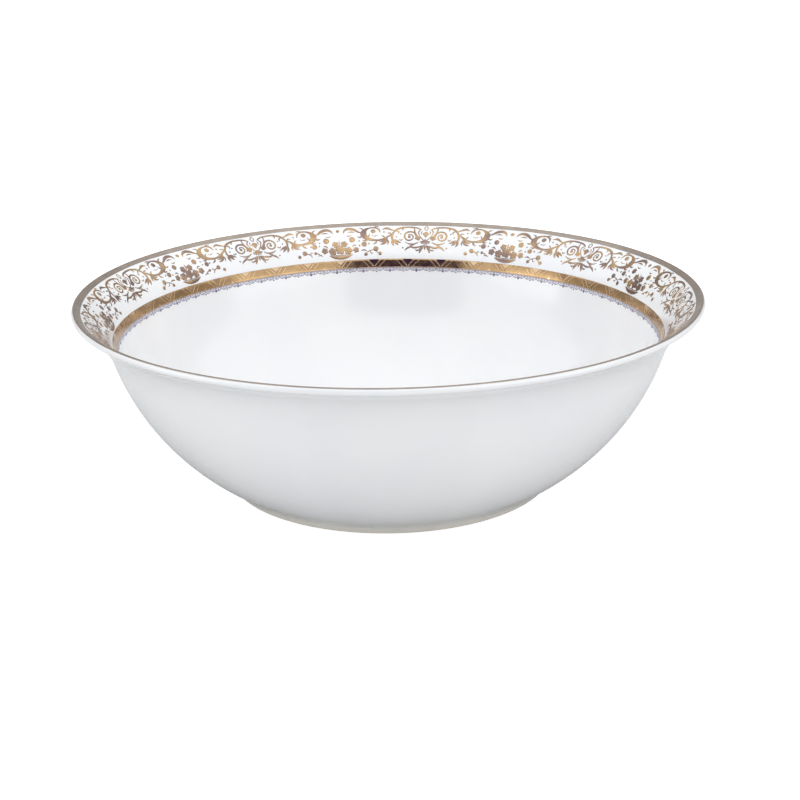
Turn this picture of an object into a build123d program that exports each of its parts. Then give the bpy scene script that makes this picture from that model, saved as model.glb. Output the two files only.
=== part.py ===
from build123d import *

import os
from math import acos, asin, cos, degrees, radians, sin

# Porcelain serving bowl with a flared lip, a turned foot ring and a gilded frieze inside the lip.
# Frame: origin on the table under the middle of the foot, +Z up the bowl's axis.
# Sizes are in millimetres and headings in degrees from the bowl's axis.

# Driving dimensions of the body
rim_diameter = 230.0
bowl_height = 71.2
lip_radius = 1.2
lip_heading = 30.0
flare_radius = 29.4
neck_heading = 72.5
outer_wall_radius = 88.5
inner_wall_radius = 84.0
knee_radius = 34.0
floor_height = 7.2
base_underside = 3.6
foot_diameter = 120.0
foot_wall = 4.5
foot_draft = 0.9
foot_edge_fillet = 0.8
foot_root_fillet = 2.2
foot_inside_fillet = 1.4

# Driving dimensions of the fired-on decoration, measured down the inside glaze from the lip
gold_thickness = 0.2
gilding_bottom = 5.95
gilding_shoulder = 50.0
frieze_radius = 106.0
frieze_start_heading = 22.0
frieze_middle = 14.0
repeats = 9
first_cartouche = 8.9
band_top = 22.3
band_bottom = 25.9
lace_bottom = 28.0
frieze_gap = 0.1
print_reach = 9.0
print_arc = 50.0

lip_centre = (rim_diameter / 2 - lip_radius, bowl_height - lip_radius)
flare_centre = (
    lip_centre[0] + flare_radius * sin(radians(lip_heading)),
    lip_centre[1] - flare_radius * cos(radians(lip_heading)),
)
flare_outside = flare_radius - lip_radius
flare_inside = flare_radius + lip_radius


def wall_centre(wall_radius, flare):
    """Centre of the wall arc that runs on smoothly from the flare arc at the neck."""
    reach = wall_radius + flare
    return (
        flare_centre[0] - reach * sin(radians(neck_heading)),
        flare_centre[1] + reach * cos(radians(neck_heading)),
    )


outer_centre = wall_centre(outer_wall_radius, flare_outside)
inner_centre = wall_centre(inner_wall_radius, flare_inside)
knee_heading = degrees(
    acos((inner_centre[1] - floor_height - knee_radius) / (inner_wall_radius - knee_radius))
)
knee_centre = (
    inner_centre[0] + (inner_wall_radius - knee_radius) * sin(radians(knee_heading)),
    floor_height + knee_radius,
)


def on_flare(radius, heading):
    """Point on an arc about the flare's centre, which lies outside the bowl."""
    return (
        flare_centre[0] - radius * sin(radians(heading)),
        flare_centre[1] + radius * cos(radians(heading)),
    )


def on_wall(centre, radius, heading):
    """Point on an arc about a centre that lies inside the bowl."""
    return (
        centre[0] + radius * sin(radians(heading)),
        centre[1] - radius * cos(radians(heading)),
    )


def flare_arc(radius, start, end):
    """Edge along an arc about the flare's centre."""
    return ThreePointArc(*[on_flare(radius, h) for h in (start, (start + end) / 2, end)])


def wall_arc(centre, radius, start, end):
    """Edge along an arc about a centre inside the bowl."""
    return ThreePointArc(*[on_wall(centre, radius, h) for h in (start, (start + end) / 2, end)])


def turned(section, arc=360.0):
    """Solid turned from a (radius, height) section; a part turn is centred on the +Y side."""
    start = 90.0 - arc / 2
    return Rot(0, 0, start) * revolve(Plane.XZ * section, Axis.Z, arc)


def bowl_body():
    """The clay body: floor, knee, wall, flared lip and foot ring in one casting."""
    foot_radius = foot_diameter / 2
    root_radius = foot_radius + foot_draft
    root_heading = degrees(asin((root_radius - outer_centre[0]) / outer_wall_radius))
    foot_root = on_wall(outer_centre, outer_wall_radius, root_heading)
    inside_foot = (foot_radius - foot_wall, 0)
    inside_root = (foot_radius - foot_wall - foot_draft, base_underside)
    lip_top = (lip_centre[0] + lip_radius * cos(radians(lip_heading)),
               lip_centre[1] + lip_radius * sin(radians(lip_heading)))
    section = make_face(
        Line((0, base_underside), (0, floor_height))
        + Line((0, floor_height), (knee_centre[0], floor_height))
        + wall_arc(knee_centre, knee_radius, 0, knee_heading)
        + wall_arc(inner_centre, inner_wall_radius, knee_heading, neck_heading)
        + flare_arc(flare_inside, neck_heading, lip_heading)
        + ThreePointArc(on_flare(flare_inside, lip_heading), lip_top, on_flare(flare_outside, lip_heading))
        + flare_arc(flare_outside, lip_heading, neck_heading)
        + wall_arc(outer_centre, outer_wall_radius, neck_heading, root_heading)
        + Line(foot_root, (foot_radius, 0))
        + Line((foot_radius, 0), inside_foot)
        + Line(inside_foot, inside_root)
        + Line(inside_root, (0, base_underside))
    )
    for corner, radius in (
        (foot_root, foot_root_fillet),
        ((foot_radius, 0), foot_edge_fillet),
        (inside_foot, foot_edge_fillet),
        (inside_root, foot_inside_fillet),
    ):
        vertex = section.vertices().sort_by_distance((corner[0], corner[1], 0))[0]
        section = fillet(vertex, radius)
    return turned(section)


def frieze_heading(down):
    """Heading on the inside glaze at a distance down from the start of the frieze."""
    return frieze_start_heading + degrees(down / flare_inside)


def glaze_layer(top, bottom):
    """Section of a thin layer on the inside glaze of the flare, between two distances down."""
    start = frieze_heading(top)
    end = frieze_heading(bottom)
    surface = flare_inside + gold_thickness
    return make_face(
        flare_arc(flare_inside, start, end)
        + Line(on_flare(flare_inside, end), on_flare(surface, end))
        + flare_arc(surface, end, start)
        + Line(on_flare(surface, start), on_flare(flare_inside, start))
    )


def rim_gilding():
    """One length of the brushed gold line, from the lip's outer shoulder over its top to the inside."""
    inside_end = frieze_heading(gilding_bottom)
    middle = (gilding_shoulder - lip_heading) / 2
    top = flare_inside + gold_thickness
    outer = lip_radius + gold_thickness

    def on_lip(radius, heading):
        return (
            lip_centre[0] + radius * sin(radians(heading)),
            lip_centre[1] + radius * cos(radians(heading)),
        )

    under = [on_lip(lip_radius, heading) for heading in (-lip_heading, middle, gilding_shoulder)]
    over = [on_lip(outer, heading) for heading in (gilding_shoulder, middle, -lip_heading)]
    section = make_face(
        flare_arc(flare_inside, inside_end, lip_heading)
        + ThreePointArc(*under)
        + Line(under[2], over[0])
        + ThreePointArc(*over)
        + flare_arc(top, lip_heading, inside_end)
        + Line(on_flare(top, inside_end), on_flare(flare_inside, inside_end))
    )
    return turned(section, 360.0 / repeats)


def gold_band():
    """One length of the wide gold band that closes the frieze below."""
    return turned(glaze_layer(band_top, band_bottom), 360.0 / repeats)


def lace_border():
    """One length of the lace edge under the gold band, which runs past the neck onto the wall."""
    start = frieze_heading(band_bottom)
    past_neck = lace_bottom - radians(neck_heading - frieze_start_heading) * flare_inside
    end = neck_heading - degrees(past_neck / inner_wall_radius)
    surface = flare_inside + gold_thickness
    wall_surface = inner_wall_radius - gold_thickness
    section = make_face(
        flare_arc(flare_inside, start, neck_heading)
        + wall_arc(inner_centre, inner_wall_radius, neck_heading, end)
        + Line(on_wall(inner_centre, inner_wall_radius, end), on_wall(inner_centre, wall_surface, end))
        + wall_arc(inner_centre, wall_surface, end, neck_heading)
        + flare_arc(surface, neck_heading, start)
        + Line(on_flare(surface, start), on_flare(flare_inside, start))
    )
    return turned(section, 360.0 / repeats)


# The frieze is drawn flat on a plane that touches the glaze at its middle, then printed through
# onto the curved glaze. A drawing's points are (along, down): millimetres sideways at the frieze's
# radius, and millimetres down the glaze.
def glaze_point(along, down):
    """Point on the inside glaze on the +Y side of the bowl."""
    radius, height = on_flare(flare_inside, frieze_heading(down))
    turn = along / frieze_radius
    return Vector(radius * sin(turn), radius * cos(turn), height)


middle_heading = radians(frieze_heading(frieze_middle))
drawing_plane = Plane(
    origin=glaze_point(0, frieze_middle),
    x_dir=(1, 0, 0),
    z_dir=(0, -sin(middle_heading), cos(middle_heading)),
)


def drawn(along, down):
    """Place on the flat drawing that prints at a point of the glaze."""
    local = drawing_plane.to_local_coords(glaze_point(along, down))
    return Pos(local.X, local.Y)


def dot(along, down, radius):
    """A round spot of gold."""
    return drawn(along, down) * Circle(radius)


def leaf(along, down, length, width, turn=0.0):
    """An oval leaf, turned from lying sideways."""
    return drawn(along, down) * Rot(0, 0, turn) * Ellipse(length / 2, width / 2)


def crescent(along, down, radius, bite_radius, shift):
    """A round spot with a bite out of it; shift is how far along and down the bite is moved."""
    return dot(along, down, radius) - dot(along + shift[0], down + shift[1], bite_radius)


def scroll(along, down, radius, width, start, sweep):
    """A scroll stroke of even width along a round arc."""
    outer = CenterArc((0, 0), radius + width / 2, start, sweep)
    inner = CenterArc((0, 0), radius - width / 2, start, sweep)
    edges = outer + Line(outer @ 1, inner @ 1) + inner + Line(inner @ 0, outer @ 0)
    return drawn(along, down) * make_face(edges)


def both_sides(half):
    """The shapes of one half together with their mirror images."""
    return half + [mirror(shape, Plane.YZ) for shape in half]


def scroll_cartouche():
    """The gold cartouche: scrolls, volutes and leafy arms about a heart and a shell."""
    crest = leaf(0, 7.8, 2.0, 2.6) - leaf(0, 7.8, 1.0, 1.5)
    heart = drawn(0, 11.0) * Triangle(a=3.2, B=52, C=52, rotation=180)
    shell = dot(0, 15.2, 1.4)
    bud = leaf(0, 18.0, 1.0, 1.8)
    volute = dot(6.8, 12.1, 2.95) - dot(6.8, 12.1, 2.05)
    half = [
        scroll(8.9, 12.6, 5.2, 1.0, 118, -153),
        volute,
        dot(6.8, 12.1, 0.85),
        leaf(4.0, 11.2, 4.2, 0.8, 72),
        leaf(12.0, 15.4, 3.0, 1.0, 42),
        scroll(20.6, 5.1, 8.6, 1.1, 221, 84),
        crescent(22.8, 10.0, 3.9, 2.8, (-1.2, 0.0)),
        dot(21.9, 9.2, 1.0),
        crescent(31.4, 10.7, 3.4, 3.4, (0.2, 1.5)),
        leaf(16.7, 7.9, 3.2, 1.1, 8),
        leaf(18.2, 15.3, 3.4, 1.0, -20),
        crescent(5.0, 13.8, 3.8, 3.8, (0.1, -0.9)),
        leaf(1.9, 18.5, 3.4, 1.3, -65),
    ]
    return printed(both_sides(half) + [crest, heart, shell, bud])


def flower_basket():
    """The gold basket of flowers between two cartouches, with its scattered buds and leaves."""
    rim = crescent(0, 15.0, 6.5, 7.2, (0.0, -2.0))
    half = [
        dot(3.7, 18.1, 1.4),
        dot(1.9, 15.1, 1.2),
        dot(7.0, 17.7, 1.2),
        dot(5.6, 13.0, 1.2),
        dot(11.0, 15.4, 1.1),
        dot(16.0, 17.9, 1.0),
        dot(18.3, 19.6, 0.8),
        leaf(10.2, 18.4, 2.8, 0.8, 10),
        leaf(13.8, 19.1, 2.6, 0.7, 40),
    ]
    return printed(both_sides(half) + [rim, dot(0, 17.6, 1.7), dot(0, 8.3, 0.75)])


def printed(shapes):
    """The flat drawing carried onto the curved glaze as a thin layer of gold."""
    outline = Sketch() + shapes
    block = extrude(drawing_plane * outline, print_reach, both=True)
    layer = turned(glaze_layer(gilding_bottom + frieze_gap, band_top - frieze_gap), print_arc)
    return block & layer


def build():
    """Write the body, and each piece of decoration once for every repeat round the bowl."""
    os.makedirs("parts", exist_ok=True)
    export_step(bowl_body(), "parts/bowl_body.step")
    step = 360.0 / repeats
    decoration = {
        "rim_gilding": (rim_gilding(), 0.0),
        "gold_band": (gold_band(), 0.0),
        "lace_border": (lace_border(), 0.0),
        "scroll_cartouche": (scroll_cartouche(), 0.0),
        "flower_basket": (flower_basket(), step / 2),
    }
    for name, (piece, offset) in decoration.items():
        for index in range(repeats):
            turn = -(first_cartouche + step * index + offset)
            export_step(Rot(0, 0, turn) * piece, f"parts/{name}_{index + 1}.step")


build()
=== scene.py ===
import math
import random

import bmesh
import bpy
from mathutils import Matrix, Vector, noise


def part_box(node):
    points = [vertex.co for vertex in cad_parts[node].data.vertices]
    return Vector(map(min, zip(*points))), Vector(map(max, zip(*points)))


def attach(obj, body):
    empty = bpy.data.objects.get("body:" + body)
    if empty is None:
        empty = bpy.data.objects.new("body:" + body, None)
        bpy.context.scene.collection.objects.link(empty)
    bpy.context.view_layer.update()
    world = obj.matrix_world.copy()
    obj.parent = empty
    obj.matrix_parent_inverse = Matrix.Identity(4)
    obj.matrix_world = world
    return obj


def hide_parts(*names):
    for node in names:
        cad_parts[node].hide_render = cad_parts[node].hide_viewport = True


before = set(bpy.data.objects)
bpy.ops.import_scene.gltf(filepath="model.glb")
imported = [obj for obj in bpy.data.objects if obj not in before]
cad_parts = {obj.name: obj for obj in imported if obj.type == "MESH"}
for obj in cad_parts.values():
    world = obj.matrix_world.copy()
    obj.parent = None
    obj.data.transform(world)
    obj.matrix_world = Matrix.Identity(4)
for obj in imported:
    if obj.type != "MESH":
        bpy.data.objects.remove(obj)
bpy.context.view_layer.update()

# ---------------------------------------------------------------- The porcelain body
# The body is one piece of white clay: floor, wall, flared lip and foot ring are turned together.
# It is dipped in clear glaze and fired, and only the foot's resting edge is wiped bare.
mm = 0.001
body_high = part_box("bowl_body")[1]
rim_radius = max(body_high.x, body_high.y)
bowl_height = body_high.z
lip_radius = 1.2 * mm
lip_heading = math.radians(30.0)
flare_radius = 29.4 * mm
neck_heading = math.radians(72.5)
outer_wall_radius = 88.5 * mm
inner_wall_radius = 84.0 * mm
knee_radius = 34.0 * mm
floor_height = 7.2 * mm
base_underside = 3.6 * mm
foot_radius = 60.0 * mm
foot_wall = 4.5 * mm
foot_draft = 0.9 * mm
foot_edge_ease = 0.8 * mm
foot_root_ease = 2.0 * mm
foot_inside_ease = 1.4 * mm
bare_edge = (0.15 * mm, 0.45 * mm)
# heights over which painted shade turns the glaze warm taupe towards the foot
foot_shade_heights = (1.2 * mm, 4.2 * mm)
body_steps = 320

lip_centre = (rim_radius - lip_radius, bowl_height - lip_radius)
flare_centre = (
    lip_centre[0] + flare_radius * math.sin(lip_heading),
    lip_centre[1] - flare_radius * math.cos(lip_heading),
)
flare_inside = flare_radius + lip_radius
flare_outside = flare_radius - lip_radius


def wall_centre(wall_radius, flare):
    """Centre of the wall arc that runs on smoothly from the flare at the neck."""
    reach = wall_radius + flare
    return (
        flare_centre[0] - reach * math.sin(neck_heading),
        flare_centre[1] + reach * math.cos(neck_heading),
    )


inner_centre = wall_centre(inner_wall_radius, flare_inside)
outer_centre = wall_centre(outer_wall_radius, flare_outside)


def arc(centre, radius, start, end, count):
    """Points of an arc; a heading of 0 points straight down and 90 degrees points outwards."""
    points = []
    for step in range(count + 1):
        heading = start + (end - start) * step / count
        across = centre[0] + radius * math.sin(heading)
        points.append((across, centre[1] - radius * math.cos(heading)))
    return points


def eased(before, corner, after, reach, count=6):
    """Points that round a corner off, starting and ending a short reach away from it."""
    corner = Vector(corner)
    first = corner + (Vector(before) - corner).normalized() * reach
    last = corner + (Vector(after) - corner).normalized() * reach
    points = []
    for step in range(count + 1):
        share = step / count
        place = first.lerp(corner, share).lerp(corner.lerp(last, share), share)
        points.append((place.x, place.y))
    return points


def body_profile():
    """Section of the bowl, from the middle of its floor over the lip to the middle underneath."""
    knee_heading = math.acos(
        (inner_centre[1] - floor_height - knee_radius) / (inner_wall_radius - knee_radius)
    )
    knee_reach = (inner_wall_radius - knee_radius) * math.sin(knee_heading)
    knee_centre = (inner_centre[0] + knee_reach, floor_height + knee_radius)
    root_radius = foot_radius + foot_draft
    root_heading = math.asin((root_radius - outer_centre[0]) / outer_wall_radius)
    wall_end = root_heading + foot_root_ease / outer_wall_radius
    foot_root = arc(outer_centre, outer_wall_radius, root_heading, root_heading, 1)[0]
    wall_foot = arc(outer_centre, outer_wall_radius, wall_end, wall_end, 1)[0]
    foot_outside = (foot_radius, 0.0)
    foot_inside = (foot_radius - foot_wall, 0.0)
    inside_root = (foot_radius - foot_wall - foot_draft, base_underside)
    points = [(knee_centre[0] * step / 8, floor_height) for step in range(8)]
    points += arc(knee_centre, knee_radius, 0.0, knee_heading, 16)
    points += arc(inner_centre, inner_wall_radius, knee_heading, neck_heading, 22)[1:]
    flip = math.pi
    points += arc(flare_centre, flare_inside, flip + neck_heading, flip + lip_heading, 18)[1:]
    lip_turn = lip_heading + flip
    points += arc(lip_centre, lip_radius, lip_turn, lip_turn - math.pi, 14)[1:]
    points += arc(flare_centre, flare_outside, flip + lip_heading, flip + neck_heading, 18)[1:]
    points += arc(outer_centre, outer_wall_radius, neck_heading, wall_end, 24)[1:-1]
    points += eased(wall_foot, foot_root, foot_outside, foot_root_ease)
    points += eased(foot_root, foot_outside, foot_inside, foot_edge_ease)
    points += eased(foot_outside, foot_inside, inside_root, foot_edge_ease)
    points += eased(foot_inside, inside_root, (0.0, base_underside), foot_inside_ease)
    points += [(inside_root[0] * step / 8, base_underside) for step in range(7, -1, -1)]
    return points


def turned_mesh(name, profile, count, closed=False, waver=None):
    """Mesh turned from a profile; waver may shift each point as (turn, place in the profile)."""
    bm = bmesh.new()
    rings = []
    for index, (across, height) in enumerate(profile):
        if across < 1e-7:
            rings.append([bm.verts.new((0.0, 0.0, height))])
            continue
        ring = []
        for step in range(count):
            turn = 2 * math.pi * step / count
            shift = waver(turn, index) if waver else (0.0, 0.0)
            radius = across + shift[0]
            place = (radius * math.sin(turn), radius * math.cos(turn), height + shift[1])
            ring.append(bm.verts.new(place))
        rings.append(ring)
    pairs = list(zip(rings, rings[1:]))
    if closed:
        pairs.append((rings[-1], rings[0]))
    for lower, upper in pairs:
        for step in range(count):
            after = (step + 1) % count
            corners = [lower[step % len(lower)], lower[after % len(lower)]]
            corners += [upper[after % len(upper)], upper[step % len(upper)]]
            unique = list(dict.fromkeys(corners))
            if len(unique) > 2:
                bm.faces.new(unique)
    return finished_mesh(name, bm)


def finished_mesh(name, bm):
    """Object with smooth faces that all point outwards."""
    bmesh.ops.recalc_face_normals(bm, faces=bm.faces)
    for face in bm.faces:
        face.smooth = True
    mesh = bpy.data.meshes.new(name)
    bm.to_mesh(mesh)
    bm.free()
    piece = bpy.data.objects.new(name, mesh)
    bpy.context.collection.objects.link(piece)
    return piece


def new_material(name):
    """Empty node material with its Principled shader."""
    material = bpy.data.materials.new(name)
    material.use_nodes = True
    return material, material.node_tree, material.node_tree.nodes["Principled BSDF"]


def fine_noise(tree, scale, detail=3.0):
    """Noise in the object's own space."""
    place = tree.nodes.new("ShaderNodeTexCoord")
    texture = tree.nodes.new("ShaderNodeTexNoise")
    texture.inputs["Scale"].default_value = scale
    texture.inputs["Detail"].default_value = detail
    tree.links.new(place.outputs["Object"], texture.inputs["Vector"])
    return texture.outputs["Fac"]


def ranged(tree, source, low, high, start=0.35, stop=0.65):
    """A value carried smoothly from one range to another."""
    node = tree.nodes.new("ShaderNodeMapRange")
    node.interpolation_type = "SMOOTHSTEP"
    limits = {"From Min": start, "From Max": stop, "To Min": low, "To Max": high}
    for socket, value in limits.items():
        node.inputs[socket].default_value = value
    tree.links.new(source, node.inputs["Value"])
    return node.outputs["Result"]


def blended(tree, share, first, second):
    """Colour between two others; each is a colour or a socket."""
    node = tree.nodes.new("ShaderNodeMix")
    node.data_type = "RGBA"
    tree.links.new(share, node.inputs["Factor"])
    for socket, colour in ((node.inputs[6], first), (node.inputs[7], second)):
        if isinstance(colour, tuple):
            socket.default_value = (*colour, 1.0)
        else:
            tree.links.new(colour, socket)
    return node.outputs[2]


def rippled(tree, shader, height, strength, distance):
    """Bump on the shader from a height value."""
    bump = tree.nodes.new("ShaderNodeBump")
    bump.inputs["Strength"].default_value = strength
    bump.inputs["Distance"].default_value = distance
    tree.links.new(height, bump.inputs["Height"])
    tree.links.new(bump.outputs["Normal"], shader.inputs["Normal"])


def glazed_porcelain():
    """White clay under clear glaze, darkened to warm taupe near the foot as painted shade, with a
    bare foot edge.
    """
    material, tree, shader = new_material("glazed_porcelain")
    shader.inputs["IOR"].default_value = 1.5
    shader.inputs["Subsurface Weight"].default_value = 0.12
    shader.inputs["Subsurface Radius"].default_value = (0.004, 0.0035, 0.003)
    shader.inputs["Subsurface Scale"].default_value = 0.6
    shader.inputs["Coat Roughness"].default_value = 0.14
    shader.inputs["Coat IOR"].default_value = 1.5
    cloud = ranged(tree, fine_noise(tree, 22.0), 0.0, 1.0)
    clay = blended(tree, cloud, (0.845, 0.850, 0.858), (0.868, 0.868, 0.866))
    place = tree.nodes.new("ShaderNodeTexCoord")
    parts = tree.nodes.new("ShaderNodeSeparateXYZ")
    tree.links.new(place.outputs["Object"], parts.inputs["Vector"])
    # painted shade: the glaze colour darkens to warm taupe towards the foot, where the floor shades
    # the bowl
    foot_shade = ranged(tree, parts.outputs["Z"], 1.0, 0.0, *foot_shade_heights)
    glazed = blended(tree, foot_shade, clay, (0.74, 0.71, 0.64))
    bare = ranged(tree, parts.outputs["Z"], 1.0, 0.0, *bare_edge)
    grain = ranged(tree, fine_noise(tree, 900.0), 0.0, 1.0)
    biscuit = blended(tree, grain, (0.56, 0.51, 0.44), (0.66, 0.62, 0.56))
    tree.links.new(blended(tree, bare, glazed, biscuit), shader.inputs["Base Color"])
    tree.links.new(ranged(tree, bare, 0.22, 0.85, 0.0, 1.0), shader.inputs["Roughness"])
    tree.links.new(ranged(tree, bare, 1.0, 0.0, 0.0, 1.0), shader.inputs["Coat Weight"])
    rippled(tree, shader, fine_noise(tree, 55.0, 2.0), 0.25, 0.05 * mm)
    return material


body = turned_mesh("porcelain_bowl", body_profile(), body_steps)
body.data.materials.append(glazed_porcelain())
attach(body, "root")
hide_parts("bowl_body")

# ---------------------------------------------------------------- The gilded lip
# A decorator turns the bowl on a wheel and lays this line of liquid gold with a brush. It wraps
# the lip, ends a little way down the inside, and its lower edge wanders slightly.
gold_lift = 0.10 * mm
gold_sunk = 0.03 * mm
ring_steps = 480
frieze_start = math.radians(22.0)
frieze_radius = 106.0 * mm
gilding_bottom = 5.95 * mm
gilding_shoulder = math.radians(28.0)


def frieze_heading(down):
    """Heading on the flare at a distance down the glaze from where the frieze is measured."""
    return frieze_start + down / flare_inside


def rim_profile():
    """Closed section of the gold line, from the lip's outer shoulder over its top to the inside."""
    end_inside = frieze_heading(gilding_bottom)
    flip = math.pi
    shoulder = flip - gilding_shoulder
    lip_turn = lip_heading + flip
    section = []
    for lift in (-gold_sunk, gold_lift):
        layer = arc(flare_centre, flare_inside + lift, flip + end_inside, lip_turn, 8)
        layer += arc(lip_centre, lip_radius + lift, lip_turn, shoulder, 12)[1:]
        section += layer if lift < 0 else layer[::-1]
    return section


def brush_waver(turn, index):
    """Sideways wander of the brush at the lower inside edge of the line."""
    if index not in (0, len(rim_profile_points) - 1):
        return (0.0, 0.0)
    wander = 0.07 * mm * math.sin(7 * turn + 0.6) + 0.05 * mm * math.sin(19 * turn)
    wander += 0.06 * mm * noise.noise(Vector((math.sin(turn) * 14, math.cos(turn) * 14, 3.0)))
    return (-wander, -0.55 * wander)


def fired_gold(name, dark, light, roughness, grain_scale, grain_depth):
    """Fired gold: two tones, partly uneven gold and partly painted glints, soft changes of burnish,
    a brushed or matted grain.
    """
    material, tree, shader = new_material(name)
    shader.inputs["Metallic"].default_value = 1.0
    # painted glints: the blend between the dark and the light colour stands partly for reflections,
    # partly for uneven gold
    tone = ranged(tree, fine_noise(tree, 120.0, 4.0), 0.0, 1.0)
    tree.links.new(blended(tree, tone, dark, light), shader.inputs["Base Color"])
    burnish = ranged(tree, fine_noise(tree, 420.0, 4.0), roughness[0], roughness[1])
    tree.links.new(burnish, shader.inputs["Roughness"])
    rippled(tree, shader, fine_noise(tree, grain_scale, 4.0), 0.5, grain_depth)
    return material


rim_profile_points = rim_profile()
gilding = turned_mesh("gilded_lip", rim_profile_points, ring_steps, closed=True, waver=brush_waver)
rim_gold_tones = ((0.41, 0.345, 0.29), (0.47, 0.395, 0.33))
gilding.data.materials.append(
    fired_gold("rim_gold", *rim_gold_tones, (0.16, 0.24), 1400.0, 0.01 * mm)
)
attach(gilding, "root")
repeats = 9
for repeat in range(repeats):
    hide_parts(f"rim_gilding_{repeat + 1}")

# ---------------------------------------------------------------- The gold band
# The band that closes the frieze is laid as a printed transfer of matted gold. The painter then
# burnishes rows of triangles and fine crossing lines into it, so these shine like mirrors.
band_top = 22.3 * mm
band_bottom = 25.9 * mm
band_teeth = 44
tooth_pitch = 2 * math.pi * frieze_radius / band_teeth
tooth_half_width = 2.15 * mm
tooth_depth = 1.75 * mm
tooth_inset = 0.12 * mm
small_tooth_half_width = 0.9 * mm
small_tooth_depth = 0.95 * mm
small_tooth_inset = 0.15 * mm
first_tooth = math.radians(4.95) * frieze_radius
burnish_lift = 0.05 * mm
# each line beside a tooth, in millimetres: where it starts and ends sideways, its rise and width
burnished_lines = [(3.1, 0.25, 0.5, 0.3), (5.4, 2.2, 0.1, 0.22)]
neck_down = (neck_heading - frieze_start) * flare_inside


def on_glaze(along, down, lift=0.0):
    """Place on the inside glaze: sideways at the frieze's radius, down from the lip, and above."""
    turn = along / frieze_radius
    if down <= neck_down:
        heading = frieze_heading(down)
        across = flare_centre[0] - (flare_inside + lift) * math.sin(heading)
        height = flare_centre[1] + (flare_inside + lift) * math.cos(heading)
    else:
        heading = neck_heading - (down - neck_down) / inner_wall_radius
        across = inner_centre[0] + (inner_wall_radius - lift) * math.sin(heading)
        height = inner_centre[1] - (inner_wall_radius - lift) * math.cos(heading)
    return Vector((across * math.sin(turn), across * math.cos(turn), height))


def band_profile():
    """Closed section of the band: sunk a little underneath, softly rounded at both edges."""
    edge_lift = gold_lift / 2
    section = [(band_bottom, -gold_sunk), (band_top, -gold_sunk), (band_top, edge_lift)]
    for share in (0.04, 0.2, 0.4, 0.6, 0.8, 0.96):
        section.append((band_top + (band_bottom - band_top) * share, gold_lift))
    section.append((band_bottom, edge_lift))
    places = [on_glaze(0.0, down, lift) for down, lift in section]
    return [(place.y, place.z) for place in places]


def add_patch(bm, outline, low, high):
    """Adds a flat-topped patch whose outline is given as (along, down) points."""
    bottom = [bm.verts.new(on_glaze(along, down, low)) for along, down in outline]
    top = [bm.verts.new(on_glaze(along, down, high)) for along, down in outline]
    count = len(outline)
    bm.faces.new(top)
    bm.faces.new(bottom[::-1])
    for index in range(count):
        after = (index + 1) % count
        bm.faces.new((bottom[index], bottom[after], top[after], top[index]))


def curve_through(points, widths, steps):
    """Smooth samples (along, down, width) of a curve through its points."""
    samples = []
    last = len(points) - 1
    for index in range(last):
        near = (max(index - 1, 0), index, index + 1, min(index + 2, last))
        around = [points[place] for place in near]
        girth = [widths[place] for place in near]
        for step in range(steps + (index == last - 1)):
            t = step / steps
            weights = (
                0.5 * (-t + 2 * t * t - t ** 3),
                0.5 * (2 - 5 * t * t + 3 * t ** 3),
                0.5 * (t + 4 * t * t - 3 * t ** 3),
                0.5 * (-t * t + t ** 3),
            )
            along = sum(w * p[0] for w, p in zip(weights, around))
            down = sum(w * p[1] for w, p in zip(weights, around))
            width = max(sum(w * g for w, g in zip(weights, girth)), 0.04)
            samples.append((along, down, width))
    return samples


def add_stroke(bm, points, widths, crown=0.09, steps=5, base=0.0, side=1):
    """Adds one printed stroke with a soft rounded top; sizes are in millimetres on the glaze."""
    samples = curve_through(points, widths, steps)
    arch = [(math.cos(math.pi * k / 6), math.sin(math.pi * k / 6)) for k in range(7)]
    rings = []
    for index, (along, down, width) in enumerate(samples):
        before = samples[max(index - 1, 0)]
        after = samples[min(index + 1, len(samples) - 1)]
        run = Vector((after[0] - before[0], after[1] - before[1]))
        run = run.normalized() if run.length > 1e-9 else Vector((1.0, 0.0))
        height = crown * min(1.0, 0.35 + width * 0.75)
        ring = []
        for across, up in arch + [(0.0, -0.15)]:
            sideways = across * width / 2
            where = (along - run.y * sideways, down + run.x * sideways)
            lift = (base + (height * up if up > 0 else -0.04)) * mm
            ring.append(bm.verts.new(on_glaze(side * where[0] * mm, where[1] * mm, lift)))
        rings.append(ring)
    for lower, upper in zip(rings, rings[1:]):
        for k in range(len(lower)):
            n = (k + 1) % len(lower)
            bm.faces.new((lower[k], lower[n], upper[n], upper[k]))
    bm.faces.new(rings[0])
    bm.faces.new(rings[-1][::-1])


def burnished_pattern(bm):
    """Mirror-bright triangles from the top edge, small ones from below and fine lines between."""
    low = 0.06 * mm
    high = gold_lift + burnish_lift
    for tooth in range(band_teeth):
        middle = first_tooth + tooth * tooth_pitch
        top = band_top + tooth_inset
        large = [
            (middle - tooth_half_width, top),
            (middle + tooth_half_width, top),
            (middle, top + tooth_depth),
        ]
        add_patch(bm, large, low, high)
        foot = band_bottom - small_tooth_inset
        between = middle + tooth_pitch / 2
        small = [
            (between - small_tooth_half_width, foot),
            (between, foot - small_tooth_depth),
            (between + small_tooth_half_width, foot),
        ]
        add_patch(bm, small, low, high)
        for side in (-1, 1):
            for start, end, rise, width in burnished_lines:
                upper = (middle / mm + side * start, top / mm)
                lower = (middle / mm + side * end, foot / mm - rise)
                add_stroke(bm, [upper, lower], [width, width], crown=0.1, steps=4, base=0.08)


band = turned_mesh("gold_band_ground", band_profile(), ring_steps, closed=True)
matted_gold_tones = ((0.43, 0.28, 0.15), (0.56, 0.37, 0.19))
band.data.materials.append(
    fired_gold("matted_gold", *matted_gold_tones, (0.17, 0.24), 2600.0, 0.012 * mm)
)
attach(band, "root")
for repeat in range(repeats):
    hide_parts(f"gold_band_{repeat + 1}")

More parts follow.
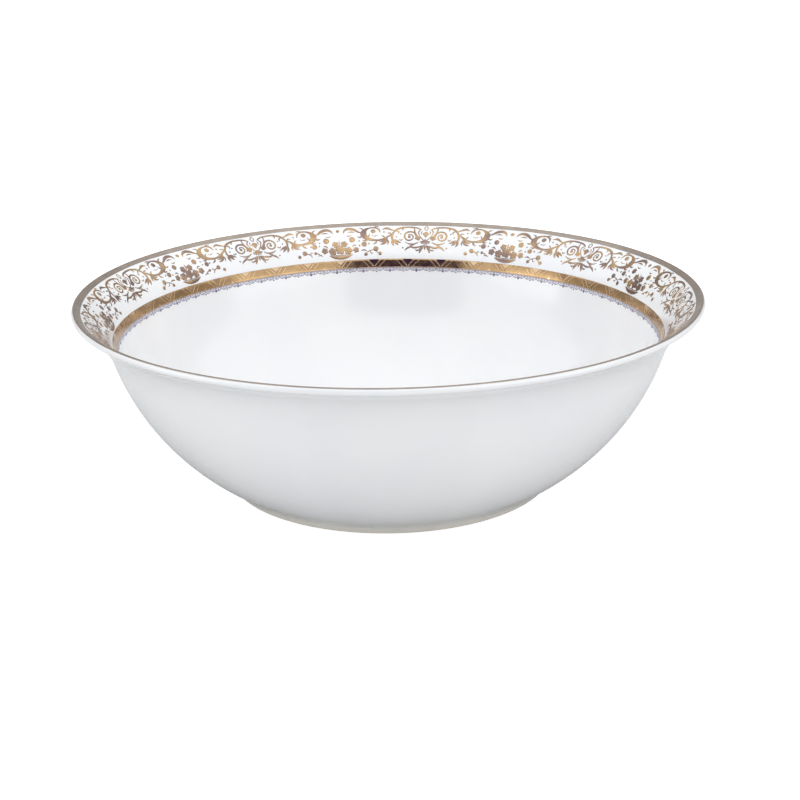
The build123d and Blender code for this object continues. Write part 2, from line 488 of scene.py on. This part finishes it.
pattern = bmesh.new()
burnished_pattern(pattern)
burnish = finished_mesh("gold_band_burnish", pattern)
for polygon in burnish.data.polygons:
    polygon.use_smooth = len(polygon.vertices) == 4
burnished_gold_tones = ((0.72, 0.50, 0.32), (0.78, 0.57, 0.37))
burnish.data.materials.append(
    fired_gold("burnished_gold", *burnished_gold_tones, (0.03, 0.07), 700.0, 0.004 * mm)
)
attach(burnish, "root")
for repeat in range(repeats):
    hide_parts(f"gold_band_{repeat + 1}")

# ---------------------------------------------------------------- The lace edge
# Under the band hangs a printed lace border in violet-grey enamel: a thread line, a row of small
# loops, and drops in two sizes in a darker blue. It is fired on with the band.
lace_pairs = 55
lace_repeat = 2 * math.pi * frieze_radius / mm / lace_pairs
loops_per_pair = 4
first_drop = math.radians(0.6) * frieze_radius / mm
lace_thread_down = 26.15
lace_loop_side_down = 26.85
lace_loop_tip_down = 27.3
# each drop, in millimetres: how far down it hangs, its radius and how high it stands
loop_bead = (26.65, 0.32, 0.10)
large_drop = (27.4, 0.54, 0.12)
small_drop = (27.55, 0.36, 0.10)


def add_drop(bm, along, down, radius, crown, stretch=1.0, rim_steps=18, side=1):
    """Adds one domed spot; stretch draws it out down the glaze. Sizes are in millimetres."""
    rings = []
    for share, up in ((1.0, -0.04), (1.0, 0.3), (0.82, 0.72), (0.5, 0.94)):
        ring = []
        for step in range(rim_steps):
            angle = 2 * math.pi * step / rim_steps
            where_along = along + radius * share * math.cos(angle)
            where_down = down + radius * share * stretch * math.sin(angle)
            lift = (crown * up if up > 0 else up) * mm
            ring.append(bm.verts.new(on_glaze(side * where_along * mm, where_down * mm, lift)))
        rings.append(ring)
    for lower, upper in zip(rings, rings[1:]):
        for step in range(rim_steps):
            after = (step + 1) % rim_steps
            bm.faces.new((lower[step], lower[after], upper[after], upper[step]))
    bm.faces.new(rings[0][::-1])
    tip = bm.verts.new(on_glaze(side * along * mm, down * mm, crown * mm))
    for step in range(rim_steps):
        bm.faces.new((rings[-1][step], rings[-1][(step + 1) % rim_steps], tip))


def lace_loops(bm):
    """The thread line and the loops that hang from it."""
    pitch = lace_repeat / loops_per_pair
    count = lace_pairs * loops_per_pair
    for index in range(count):
        start = first_drop + index * pitch
        line = [(start + pitch * share, lace_thread_down) for share in (0.0, 0.5, 1.02)]
        add_stroke(bm, line, [0.34, 0.34, 0.34], crown=0.10, steps=2)
        loop = [
            (start, lace_thread_down),
            (start + pitch * 0.14, lace_loop_side_down),
            (start + pitch * 0.5, lace_loop_tip_down),
            (start + pitch * 0.86, lace_loop_side_down),
            (start + pitch, lace_thread_down),
        ]
        add_stroke(bm, loop, [0.42, 0.42, 0.46, 0.42, 0.42], crown=0.10, steps=3)
        add_drop(bm, start + pitch * 0.5, *loop_bead, rim_steps=8)


def lace_drops(bm):
    """The large and small drops that hang below the loops."""
    for index in range(lace_pairs):
        start = first_drop + index * lace_repeat
        add_drop(bm, start, *large_drop, stretch=0.9, rim_steps=14)
        add_drop(bm, start + lace_repeat / 2, *small_drop, rim_steps=12)


def enamel(name, first, second, roughness):
    """Fired lustre enamel: a coloured glassy layer whose depth of tone varies a little."""
    material, tree, shader = new_material(name)
    shader.inputs["Coat Weight"].default_value = 0.5
    shader.inputs["Coat Roughness"].default_value = 0.08
    shader.inputs["Metallic"].default_value = 0.35
    tone = ranged(tree, fine_noise(tree, 260.0, 3.0), 0.0, 1.0)
    tree.links.new(blended(tree, tone, first, second), shader.inputs["Base Color"])
    uneven = ranged(tree, tone, roughness, roughness + 0.12, 0.0, 1.0)
    tree.links.new(uneven, shader.inputs["Roughness"])
    rippled(tree, shader, fine_noise(tree, 1500.0), 0.3, 0.02 * mm)
    return material


lace_piece = bmesh.new()
lace_loops(lace_piece)
lace = finished_mesh("lace_thread", lace_piece)
lace.data.materials.append(
    enamel("violet_enamel", (0.27, 0.24, 0.33), (0.40, 0.36, 0.46), 0.3)
)
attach(lace, "root")
for repeat in range(repeats):
    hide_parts(f"lace_border_{repeat + 1}")

drops_piece = bmesh.new()
lace_drops(drops_piece)
drops = finished_mesh("lace_drops", drops_piece)
drops.data.materials.append(
    enamel("blue_grey_enamel", (0.14, 0.13, 0.20), (0.24, 0.21, 0.30), 0.25)
)
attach(drops, "root")
for repeat in range(repeats):
    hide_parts(f"lace_border_{repeat + 1}")

# ---------------------------------------------------------------- The scroll cartouches
# Each cartouche is a printed gold transfer: C scrolls, volutes and leafy arms about a heart and a
# shell. The fired gold stands just proud of the glaze, so each stroke has a soft rounded edge.
repeat_turn = 2 * math.pi / repeats
first_cartouche = math.radians(8.9)
cartouche_strokes = [
    # the crest line and the large C scroll, down to its three leafy fingers
    ([(1.9, 8.6), (3.4, 7.7), (5.6, 7.2), (9.2, 7.2), (12.1, 8.3), (13.8, 10.3), (14.3, 12.5),
      (13.8, 14.4)],
     [0.4, 0.8, 0.9, 0.9, 1.1, 0.9, 1.0, 0.8]),
    ([(14.0, 13.4), (14.1, 15.1), (13.5, 16.7)], [0.6, 1.2, 0.1]),
    ([(13.7, 13.6), (12.7, 15.0), (11.5, 16.2)], [0.6, 1.2, 0.1]),
    ([(13.4, 13.6), (12.0, 14.3), (10.2, 15.2)], [0.5, 1.1, 0.1]),
    # the stem inside the volute, the lyre line beside the heart and a small inner bud
    ([(4.9, 7.6), (4.8, 9.4), (4.1, 11.3), (3.2, 12.8)], [0.4, 0.7, 1.0, 1.5]),
    ([(2.2, 8.4), (3.1, 9.8), (2.6, 11.5), (1.3, 13.3), (0.4, 14.3)], [0.5, 0.6, 0.5, 0.5, 0.4]),
    ([(1.2, 9.0), (1.9, 9.9), (1.6, 11.2)], [0.1, 0.5, 0.1]),
    # the long arm that swells into the crescent and rolls up into the curl
    ([(14.0, 10.6), (15.6, 11.7), (17.6, 13.1), (20.4, 13.7), (23.4, 13.3), (25.6, 12.1),
      (26.4, 10.2), (25.6, 8.4), (23.9, 7.3), (21.7, 7.1), (19.9, 8.0), (19.2, 9.9)],
     [0.4, 0.9, 1.1, 0.9, 1.3, 2.3, 2.8, 1.7, 0.9, 0.8, 0.9, 0.3]),
    ([(25.6, 12.2), (24.2, 11.4), (23.6, 10.2)], [1.4, 0.8, 0.1]),
    ([(20.2, 11.0), (21.6, 11.6), (23.2, 11.2)], [0.1, 0.4, 0.1]),
    # the small leaf on the crest line and the comma leaf that reaches towards the basket
    ([(13.1, 8.9), (14.4, 8.5), (16.6, 7.6), (18.5, 8.3)], [0.4, 0.7, 1.2, 0.2]),
    ([(27.0, 9.9), (28.6, 9.1), (30.3, 7.8), (32.4, 7.3), (34.1, 8.1), (34.8, 9.6)],
     [0.5, 0.9, 1.5, 1.5, 1.0, 0.2]),
    ([(29.9, 9.4), (31.5, 9.0), (33.1, 9.4)], [0.1, 0.7, 0.1]),
    # the leaf finial under the arm
    ([(16.4, 12.6), (16.7, 14.2), (17.8, 15.3), (19.6, 15.7)], [0.5, 0.9, 1.0, 0.1]),
    ([(16.9, 13.6), (18.3, 14.4), (19.9, 14.5)], [0.5, 0.8, 0.1]),
    ([(16.5, 13.2), (15.9, 14.7), (16.3, 16.0)], [0.4, 0.8, 0.1]),
    # the palmette under the shell: drooping leaves, side sprays and their tips
    ([(0.4, 16.3), (1.6, 17.7), (2.3, 19.8)], [0.4, 1.5, 0.3]),
    ([(2.3, 18.2), (3.4, 18.6), (4.3, 18.2)], [0.4, 0.7, 0.1]),
    ([(1.0, 16.4), (3.3, 17.2), (5.3, 17.3), (6.8, 16.4)], [0.3, 0.8, 0.8, 0.2]),
    ([(5.6, 17.0), (7.4, 17.4), (8.9, 18.7)], [0.3, 0.9, 0.2]),
    ([(2.9, 14.8), (4.8, 15.7), (6.9, 15.6), (8.7, 14.8)], [0.4, 0.7, 0.6, 0.2]),
    ([(4.6, 15.6), (5.6, 16.4), (6.9, 16.5)], [0.3, 0.6, 0.1]),
    # the leaflets that fringe the C scroll, the volute and the arm
    ([(9.0, 7.5), (9.9, 8.2), (9.5, 9.0)], [0.2, 0.6, 0.1]),
    ([(12.6, 8.9), (11.5, 9.6), (11.6, 10.9)], [0.3, 0.7, 0.1]),
    ([(9.6, 13.2), (10.5, 13.9), (11.3, 13.1)], [0.2, 0.6, 0.1]),
    ([(14.3, 11.2), (15.2, 10.2), (16.6, 10.2)], [0.3, 0.7, 0.1]),
    ([(17.5, 13.0), (17.9, 11.9), (18.8, 11.3)], [0.3, 0.7, 0.1]),
    ([(20.8, 13.8), (21.4, 15.0), (22.7, 15.6)], [0.4, 0.8, 0.1]),
    ([(24.4, 12.9), (25.6, 13.8), (27.1, 13.5)], [0.4, 0.8, 0.1]),
    ([(26.6, 11.1), (27.9, 12.0), (29.2, 11.6)], [0.3, 0.8, 0.1]),
    ([(26.1, 8.7), (26.8, 7.5), (28.1, 7.0)], [0.3, 0.7, 0.1]),
    ([(21.9, 7.0), (20.7, 6.5), (19.3, 6.9)], [0.3, 0.6, 0.1]),
    ([(31.4, 10.7), (32.6, 11.2), (33.8, 10.7)], [0.1, 0.6, 0.1]),
]
volute_middle = (6.8, 12.1)
volute_radii = (3.0, 0.9)
volute_turns = 1.45
cartouche_dots = [
    (3.1, 13.0, 0.95), (22.2, 9.1, 1.05), (6.9, 12.2, 0.65), (10.6, 10.6, 0.35), (12.3, 12.2, 0.35),
    (17.7, 9.6, 0.4), (24.3, 15.2, 0.4), (28.4, 13.7, 0.35), (9.6, 17.4, 0.35),
]
shell_ribs = 7


def add_volute(bm, side):
    """Adds the spiral that winds in beside the heart."""
    points = []
    widths = []
    count = 16
    for step in range(count):
        share = step / (count - 1)
        radius = volute_radii[0] + (volute_radii[1] - volute_radii[0]) * share
        angle = 3.6 - 2 * math.pi * volute_turns * share
        along = volute_middle[0] + radius * math.cos(angle)
        points.append((along, volute_middle[1] - radius * math.sin(angle)))
        widths.append(0.95 - 0.45 * share)
    add_stroke(bm, points, widths, steps=4, side=side)


def add_heart_and_shell(bm):
    """Adds what stands on the cartouche's middle line: pendant, heart, shell and bud."""
    add_stroke(bm, [(0, 6.5), (0.75, 7.5), (0, 8.9), (-0.75, 7.5), (0, 6.5)], [0.45] * 5, steps=6)
    add_stroke(bm, [(-0.9, 10.2), (-0.45, 11.0), (0.0, 12.6)], [1.3, 1.3, 0.2])
    add_stroke(bm, [(0.9, 10.2), (0.45, 11.0), (0.0, 12.6)], [1.3, 1.3, 0.2])
    add_drop(bm, 0.0, 10.4, 0.8, 0.12, rim_steps=16)
    for rib in range(shell_ribs):
        angle = math.pi * (0.08 + 0.84 * rib / (shell_ribs - 1))
        tip = (2.3 * math.cos(angle), 14.2 + 1.75 * math.sin(angle))
        add_stroke(bm, [(0.35 * math.cos(angle), 14.2), tip], [0.3, 0.62], steps=4)
    add_drop(bm, 0.0, 14.1, 0.7, 0.12)
    add_stroke(bm, [(0, 16.2), (0, 17.3), (0, 18.5)], [0.3, 0.9, 0.1])


def cartouche(name, turn):
    """One printed cartouche, turned to its place on the frieze."""
    bm = bmesh.new()
    for side in (1, -1):
        for points, widths in cartouche_strokes:
            add_stroke(bm, points, widths, side=side)
        add_volute(bm, side)
        for along, down, radius in cartouche_dots:
            add_drop(bm, along, down, radius, 0.1, side=side)
    add_heart_and_shell(bm)
    bmesh.ops.transform(bm, matrix=Matrix.Rotation(-turn, 4, "Z"), verts=bm.verts)
    return finished_mesh(name, bm)


# violet-brown and ochre: the contrast between them is partly uneven printed gold, partly painted
# glints
frieze_gold_tones_and_glints = ((0.29, 0.20, 0.17), (0.58, 0.39, 0.21))
frieze_gold = fired_gold("printed_gold", *frieze_gold_tones_and_glints, (0.12, 0.22), 1100.0, 0.012 * mm)
for repeat in range(repeats):
    piece = cartouche(f"raised_cartouche_{repeat + 1}", first_cartouche + repeat_turn * repeat)
    piece.data.materials.append(frieze_gold)
    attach(piece, "root")
    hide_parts(f"scroll_cartouche_{repeat + 1}")

# ---------------------------------------------------------------- The flower baskets
# Between two cartouches stands a low basket heaped with flowers, with buds and sprigs scattered
# on both sides. It is the same printed gold, and every other basket is laid the other way round.
basket_flowers = [
    (0.0, 17.6, 2.0), (3.5, 18.1, 1.75), (-3.5, 18.1, 1.75), (1.9, 15.0, 1.45),
    (-1.9, 15.0, 1.45), (6.9, 17.6, 1.4), (-6.9, 17.8, 1.3),
]
basket_buds = [
    (5.6, 13.0, 1.25), (-5.6, 13.0, 1.25), (11.1, 15.4, 1.15), (-10.6, 15.4, 1.15),
    (16.0, 17.9, 1.05), (-15.6, 17.7, 1.1), (18.6, 19.3, 0.8), (-17.4, 19.8, 0.8),
    (11.2, 18.3, 0.65), (-11.1, 20.0, 0.8), (-8.6, 15.9, 0.4), (8.9, 15.2, 0.35), (0.0, 8.3, 0.8),
]
basket_sprigs = [
    ([(9.0, 19.6), (9.9, 18.7), (11.2, 18.3)], [0.2, 0.5, 0.3]),
    ([(12.9, 20.0), (13.7, 18.7), (15.6, 18.0)], [0.2, 0.6, 0.3]),
    ([(13.7, 18.7), (13.0, 18.0), (12.2, 18.2)], [0.2, 0.5, 0.1]),
    ([(8.0, 20.0), (9.0, 19.4), (10.2, 19.7)], [0.1, 0.6, 0.1]),
    ([(-9.0, 18.4), (-10.4, 18.0), (-11.8, 18.6)], [0.2, 0.7, 0.1]),
    ([(-11.1, 20.0), (-12.4, 18.7), (-15.6, 17.8)], [0.3, 0.4, 0.3]),
    ([(-13.0, 18.5), (-13.5, 19.5), (-14.5, 19.7)], [0.2, 0.5, 0.1]),
    ([(-17.4, 19.8), (-16.4, 19.4), (-15.7, 18.5)], [0.2, 0.4, 0.2]),
    ([(-5.4, 16.4), (-6.2, 15.6), (-7.3, 15.8)], [0.2, 0.7, 0.1]),
    ([(5.3, 16.4), (6.2, 15.5), (7.4, 15.6)], [0.2, 0.7, 0.1]),
    ([(0.0, 15.8), (0.1, 14.0), (0.0, 13.0)], [0.3, 0.6, 0.1]),
]
basket_rim = (
    [(-5.2, 19.9), (-2.8, 20.8), (0, 21.1), (2.8, 20.8), (5.2, 19.9)],
    [0.3, 1.3, 1.7, 1.3, 0.3],
)
petals_per_flower = 5


def add_flower(bm, along, down, radius, side, tilt):
    """Adds a flower head: rounded petals about a domed middle."""
    for petal in range(petals_per_flower):
        angle = 2 * math.pi * petal / petals_per_flower + tilt
        where = (along + 0.6 * radius * math.cos(angle), down - 0.6 * radius * math.sin(angle))
        add_drop(bm, *where, 0.46 * radius, 0.09, rim_steps=14, side=side)
    add_drop(bm, along, down, 0.34 * radius, 0.13, rim_steps=12, side=side)


def basket(name, turn, side, draw):
    """One basket of flowers, turned to its place on the frieze."""
    bm = bmesh.new()
    add_stroke(bm, *basket_rim, crown=0.11, steps=6, side=side)
    add_stroke(bm, [(-4.2, 19.75), (0, 19.95), (4.2, 19.75)], [0.2, 0.45, 0.2], side=side)
    for along, down, radius in basket_flowers:
        add_flower(bm, along, down, radius, side, draw.uniform(0.0, 1.2))
    for along, down, radius in basket_buds:
        size = radius * draw.uniform(0.9, 1.05)
        add_drop(bm, along, down, size, 0.1, side=side)
    for points, widths in basket_sprigs:
        add_stroke(bm, points, widths, side=side)
    bmesh.ops.transform(bm, matrix=Matrix.Rotation(-turn, 4, "Z"), verts=bm.verts)
    return finished_mesh(name, bm)


hand = random.Random(9)
for repeat in range(repeats):
    place = first_cartouche + repeat_turn * (repeat + 0.5)
    piece = basket(f"raised_basket_{repeat + 1}", place, 1 if repeat % 2 else -1, hand)
    piece.data.materials.append(frieze_gold)
    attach(piece, "root")
    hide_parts(f"flower_basket_{repeat + 1}")

# ---------------------------------------------------------------- Table, backdrop and light
# The bowl stands on a plain white sweep that runs up behind it, under a large soft light. Cards
# and panels out of frame give the gold something dark and something bright to reflect.
sweep_half_width = 6.0
sweep_front = -9.0
sweep_bend = 1.6
sweep_bend_radius = 0.9
sweep_top = 2.6
paper_glow = 0.8
paper_bounce = 0.3
paper_gap = 0.05 * mm


def paper_sweep():
    """A sheet of white paper: flat under the bowl, then curved up behind it.

    It glows evenly as seen by the camera, more softly as light on the bowl, and not in its gloss.
    """
    line = [(sweep_front, 0.0), (sweep_bend, 0.0)]
    for step in range(1, 13):
        angle = math.pi / 2 * step / 12
        depth = sweep_bend + sweep_bend_radius * math.sin(angle)
        line.append((depth, sweep_bend_radius * (1 - math.cos(angle))))
    line.append((sweep_bend + sweep_bend_radius, sweep_top))
    bm = bmesh.new()
    edges = []
    sides = (-sweep_half_width, sweep_half_width)
    for depth, height in line:
        edges.append([bm.verts.new((side, depth, height)) for side in sides])
    for lower, upper in zip(edges, edges[1:]):
        bm.faces.new((lower[0], lower[1], upper[1], upper[0]))
    for face in bm.faces:
        face.smooth = True
    mesh = bpy.data.meshes.new("paper_sweep")
    bm.to_mesh(mesh)
    bm.free()
    piece = bpy.data.objects.new("paper_sweep", mesh)
    bpy.context.collection.objects.link(piece)
    material, tree, shader = new_material("white_paper")
    shader.inputs["Base Color"].default_value = (0.55, 0.55, 0.55, 1.0)
    shader.inputs["Roughness"].default_value = 0.9
    shader.inputs["Specular IOR Level"].default_value = 0.1
    shader.inputs["Emission Color"].default_value = (1.0, 1.0, 1.0, 1.0)
    path = tree.nodes.new("ShaderNodeLightPath")
    lit = ranged(tree, path.outputs["Is Diffuse Ray"], 0.0, paper_bounce, 0.0, 1.0)
    glow = tree.nodes.new("ShaderNodeMath")
    glow.operation = "MULTIPLY_ADD"
    glow.inputs[1].default_value = paper_glow
    tree.links.new(path.outputs["Is Camera Ray"], glow.inputs[0])
    tree.links.new(lit, glow.inputs[2])
    tree.links.new(glow.outputs["Value"], shader.inputs["Emission Strength"])
    piece.location.z = -paper_gap
    piece.data.materials.append(material)


def card(name, place, size, tone, glow=0.0):
    """A card out of frame, there only to be seen in the gloss: gold takes its depth from it."""
    bm = bmesh.new()
    bmesh.ops.create_grid(bm, x_segments=1, y_segments=1, size=0.5)
    mesh = bpy.data.meshes.new(name)
    bm.to_mesh(mesh)
    bm.free()
    sheet = bpy.data.objects.new(name, mesh)
    bpy.context.collection.objects.link(sheet)
    sheet.scale = (size[0], size[1], 1.0)
    sheet.location = place
    sheet.rotation_mode = "QUATERNION"
    sheet.rotation_quaternion = (Vector((0, 0, 0.05)) - Vector(place)).to_track_quat("Z", "Y")
    sheet.visible_camera = False
    sheet.visible_diffuse = False
    sheet.visible_shadow = False
    material, tree, shader = new_material(name + "_felt")
    shader.inputs["Base Color"].default_value = (*tone, 1.0)
    shader.inputs["Roughness"].default_value = 0.95
    shader.inputs["Emission Color"].default_value = (1.0, 0.98, 0.95, 1.0)
    shader.inputs["Emission Strength"].default_value = glow
    sheet.data.materials.append(material)


def soft_light(name, place, aim, size, power):
    """A large soft light aimed at a point. It is kept out of the gloss, where the panels show."""
    lamp = bpy.data.lights.new(name, "AREA")
    lamp.shape = "RECTANGLE"
    lamp.size = size[0]
    lamp.size_y = size[1]
    lamp.energy = power
    holder = bpy.data.objects.new(name, lamp)
    holder.location = place
    holder.rotation_mode = "QUATERNION"
    holder.rotation_quaternion = (Vector(aim) - Vector(place)).to_track_quat("-Z", "Y")
    holder.visible_glossy = False
    bpy.context.collection.objects.link(holder)


paper_sweep()
card("dark_card", (-0.2, -1.3, 0.78), (1.45, 1.0), (0.04, 0.02, 0.11))
card("grey_card", (0.0, 1.35, 0.42), (4.0, 0.95), (0.42, 0.41, 0.40))
card("left_grey_card", (-1.5, 0.3, 0.38), (1.1, 0.8), (0.40, 0.38, 0.36))
card("right_grey_card", (1.5, 0.3, 0.38), (1.1, 0.8), (0.40, 0.38, 0.36))
card("top_panel", (0.0, -0.6, 1.5), (1.7, 1.3), (0.9, 0.9, 0.9), 0.45)
card("left_panel", (-1.42, -0.5, 0.38), (1.0, 0.6), (0.9, 0.9, 0.9), 1.1)
card("right_panel", (1.12, -0.95, 0.38), (1.3, 0.6), (0.9, 0.9, 0.9), 0.9)
soft_light("right_light", (1.4, -0.45, 1.0), (0, 0, 0.05), (0.9, 0.9), 0.7)
soft_light("top_light", (0.0, 0.5, 2.2), (0, 0.2, 0.0), (4.0, 3.2), 16.0)
soft_light("backdrop_light", (0.0, 0.9, 1.6), (0, 2.3, 0.6), (2.4, 0.5), 30.0)
room = bpy.data.worlds.new("room")
room.use_nodes = True
room.node_tree.nodes["Background"].inputs["Color"].default_value = (0.95, 0.97, 1.0, 1.0)
room.node_tree.nodes["Background"].inputs["Strength"].default_value = 1.08
bpy.context.scene.world = room
bpy.context.scene.view_settings.view_transform = "Standard"

# ---------------------------------------------------------------- Camera
# The camera looks down on the bowl from the front, with a slight roll.
camera_distance = 0.6325
camera_rise = math.radians(18.292)
camera_roll = math.radians(0.991)
camera_target = Vector((0.0, 0.0, 0.0345))
lens = bpy.data.cameras.new("camera")
lens.lens = 75.98
lens.sensor_width = 36.0
lens.shift_x = 0.01314
lens.shift_y = -0.01819
camera = bpy.data.objects.new("camera", lens)
back = Vector((0.0, -math.cos(camera_rise), math.sin(camera_rise)))
camera.location = camera_target + back * camera_distance
facing = (-back).to_track_quat("-Z", "Y").to_matrix().to_4x4()
camera.rotation_mode = "QUATERNION"
camera.rotation_quaternion = (facing @ Matrix.Rotation(-camera_roll, 4, "Z")).to_quaternion()
bpy.context.collection.objects.link(camera)
bpy.context.scene.camera = camera
